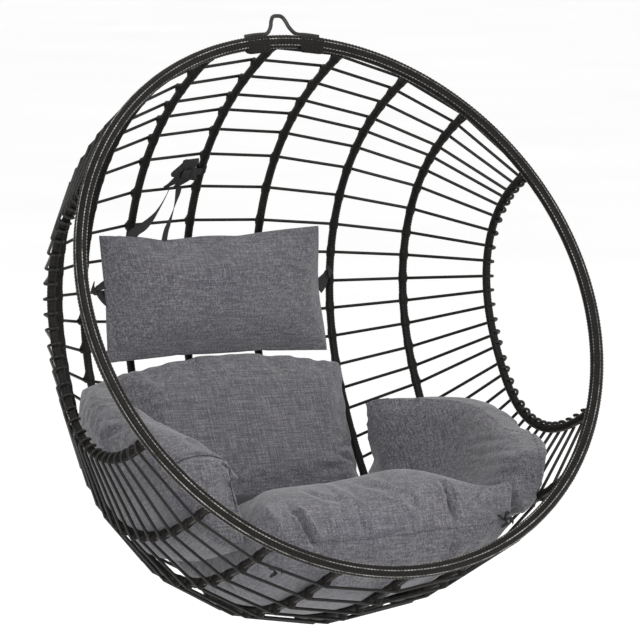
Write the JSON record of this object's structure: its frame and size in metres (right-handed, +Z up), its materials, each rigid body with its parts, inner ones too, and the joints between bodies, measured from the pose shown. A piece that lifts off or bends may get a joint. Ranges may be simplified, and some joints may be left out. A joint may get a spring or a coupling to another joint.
{
  "type": "hanging egg chair",
  "caption": "Hanging egg chair basket of wound ribs and round strands on a front ring, with a hanging loop, a lift-out seat pad and a tied head pillow.",
  "frame": {"origin": "where a hook bears, on the underside of the hanging loop's top", "axes": "+Z straight up as the basket hangs, +X to the right of someone facing the opening, -Y out of the opening"},
  "size_m": [1.105, 0.9019, 1.1558],
  "materials": {
    "frame_steel": "powder coat",
    "loop_steel": "satin powder coat",
    "rattan_flat": "flat polyethylene rattan, wound",
    "rattan_round": "round polyethylene rattan",
    "cushion_fabric": "heathered grey woven polyester",
    "ribbon": "black ribbon"
  },
  "bodies": {
    "basket": {"ring_tube": "frame_steel", "ring_wrap": "rattan_flat", "rib_tube_1": "frame_steel", "rib_tube_2": "frame_steel", "rib_tube_3": "frame_steel", "rib_tube_4": "frame_steel", "rib_tube_5": "frame_steel", "rib_tube_6": "frame_steel", "rib_tube_7": "frame_steel", "rib_tube_8": "frame_steel", "rib_tube_9": "frame_steel", "rib_wrap_1": "rattan_flat", "rib_wrap_2": "rattan_flat", "rib_wrap_3": "rattan_flat", "rib_wrap_4": "rattan_flat", "rib_wrap_5": "rattan_flat", "rib_wrap_6": "rattan_flat", "rib_wrap_7": "rattan_flat", "rib_wrap_8": "rattan_flat", "rib_wrap_9": "rattan_flat", "strand_01": "rattan_round", "strand_02": "rattan_round", "strand_03": "rattan_round", "strand_04": "rattan_round", "strand_05": "rattan_round", "strand_06": "rattan_round", "strand_07": "rattan_round", "strand_08": "rattan_round", "strand_09": "rattan_round", "strand_10": "rattan_round", "strand_11": "rattan_round", "strand_12": "rattan_round", "strand_13": "rattan_round", "strand_14": "rattan_round", "strand_15": "rattan_round", "strand_16": "rattan_round", "strand_17": "rattan_round", "strand_18": "rattan_round", "strand_19": "rattan_round", "strand_20": "rattan_round", "strand_21": "rattan_round", "strand_22": "rattan_round", "strand_23": "rattan_round", "strand_24": "rattan_round", "strand_25": "rattan_round", "strand_26": "rattan_round", "strand_27": "rattan_round", "strand_28": "rattan_round", "strand_29": "rattan_round", "strand_30": "rattan_round", "strand_31": "rattan_round", "hanging_loop": "loop_steel", "loop_wraps": "rattan_flat", "pillow_bow": "ribbon"},
    "seat_pad": {"seat_cushion": "cushion_fabric", "back_cushion": "cushion_fabric", "arm_cushion_left": "cushion_fabric", "arm_cushion_right": "cushion_fabric"},
    "head_pillow": {"head_pillow": "cushion_fabric", "pillow_ties": "ribbon"}
  },
  "joints": [
    {"name": "pad_lift_out", "type": "slide", "parent": "basket", "child": "seat_pad", "axis": [0, -0.8829, 0.4695], "range_m": [0, 0.45]},
    {"name": "pillow_swing", "type": "hinge", "parent": "basket", "child": "head_pillow", "pos_m": [-0.05231, 0.2819, -0.35466], "axis": [-1, 0, 0], "range_deg": [0, 55]}
  ]
}
